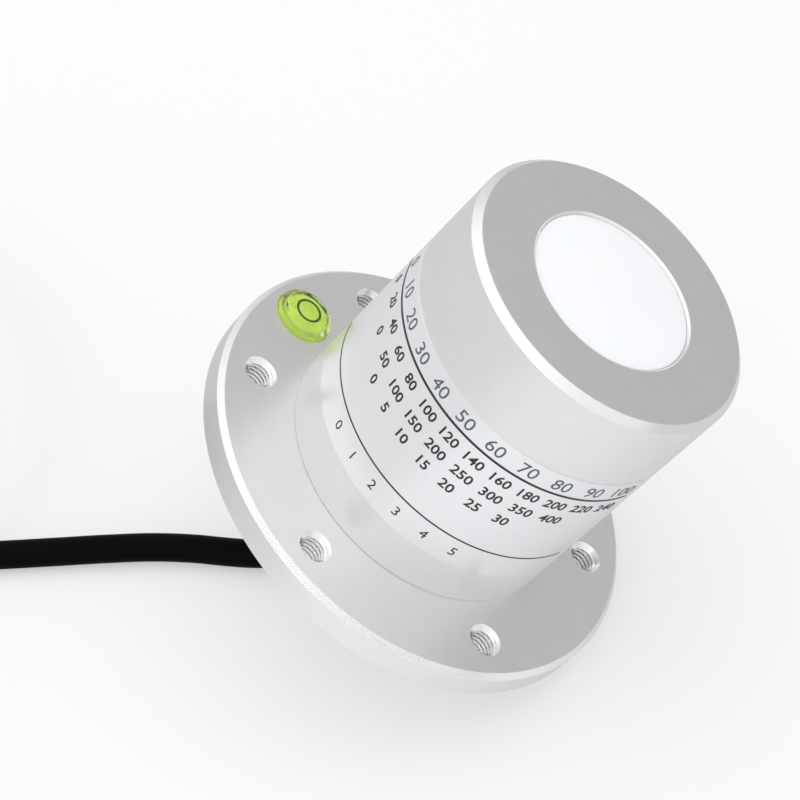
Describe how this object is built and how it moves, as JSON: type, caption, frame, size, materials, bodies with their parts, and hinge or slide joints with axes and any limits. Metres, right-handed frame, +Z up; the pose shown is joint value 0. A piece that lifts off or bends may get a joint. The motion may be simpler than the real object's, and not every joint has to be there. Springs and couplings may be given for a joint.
{
  "type": "par sensor",
  "caption": "Round light sensor with a white diffuser window, a bubble level on its flange, tapped mounting holes and a coiled cable with bare core ends, lying tipped on its flange.",
  "frame": {"origin": "middle of the box round the sensor head as it lies on a table, at table height; the free cable, its coil and what is on it are left out of that box", "axes": "+Z up from the table; +X the way the sensor's top leans, 33.4 degrees from upright; +Y completes the frame, level, along the line of the flange's rim on the table"},
  "size_m": [0.212, 0.0944, 0.0842],
  "materials": {
    "bare_aluminium": "bead blasted and clear anodised, satin",
    "black_rubber": "matte",
    "grey_silicone": "matte",
    "screw_steel": "plain stainless",
    "blackened_steel": "blackened",
    "label_film": "silver polyester film, satin",
    "white_diffuser": "milky white, satin",
    "black_anodised": "black anodised, matte",
    "colour_glass": "polished",
    "infrared_glass": "polished",
    "diode_can": "plated",
    "circuit_board": "solder resist, satin",
    "header_pins": "plated",
    "plain_brass": "turned",
    "chip_black": "moulded",
    "capacitor_can": "drawn",
    "terminal_green": "moulded",
    "nickel_plate": "nickel plated brass",
    "cable_jacket": "black jacket, satin",
    "core_insulation": "four colours: red, black, yellow and blue",
    "tinned_copper": "tinned strands",
    "tie_plastic": "coated wire tie",
    "level_acrylic": "clear acrylic, polished",
    "level_liquid": "yellow green dye",
    "level_white": "moulded"
  },
  "bodies": {
    "root": {"base_flange": "bare_aluminium", "housing": "bare_aluminium", "housing_seal": "black_rubber", "housing_screws": "screw_steel", "housing_label": "label_film", "window_diffuser": "white_diffuser", "window_seal": "grey_silicone", "filter_holder": "black_anodised", "colour_filter": "colour_glass", "infrared_filter": "infrared_glass", "holder_screws": "blackened_steel", "photodiode": "diode_can", "sensor_board": "circuit_board", "sensor_board_screws": "screw_steel", "sensor_leads": "header_pins", "board_posts": "plain_brass", "main_board": "circuit_board", "main_board_screws": "screw_steel", "processor_chip": "chip_black", "driver_chip": "chip_black", "board_capacitors": "capacitor_can", "terminal_block": "terminal_green", "terminal_screws": "screw_steel", "gland_body": "nickel_plate", "gland_washer": "black_rubber", "gland_insert": "black_rubber", "gland_cap": "nickel_plate", "gland_nut": "nickel_plate", "cable_entry": "cable_jacket", "entry_cores": "core_insulation", "level_vial": "level_acrylic", "level_fluid": "level_liquid", "level_plug": "level_white", "cable_lead": "cable_jacket", "cable_coil": "cable_jacket", "coil_ties": "tie_plastic", "end_cores": "core_insulation", "core_tips": "tinned_copper"}
  },
  "joints": []
}
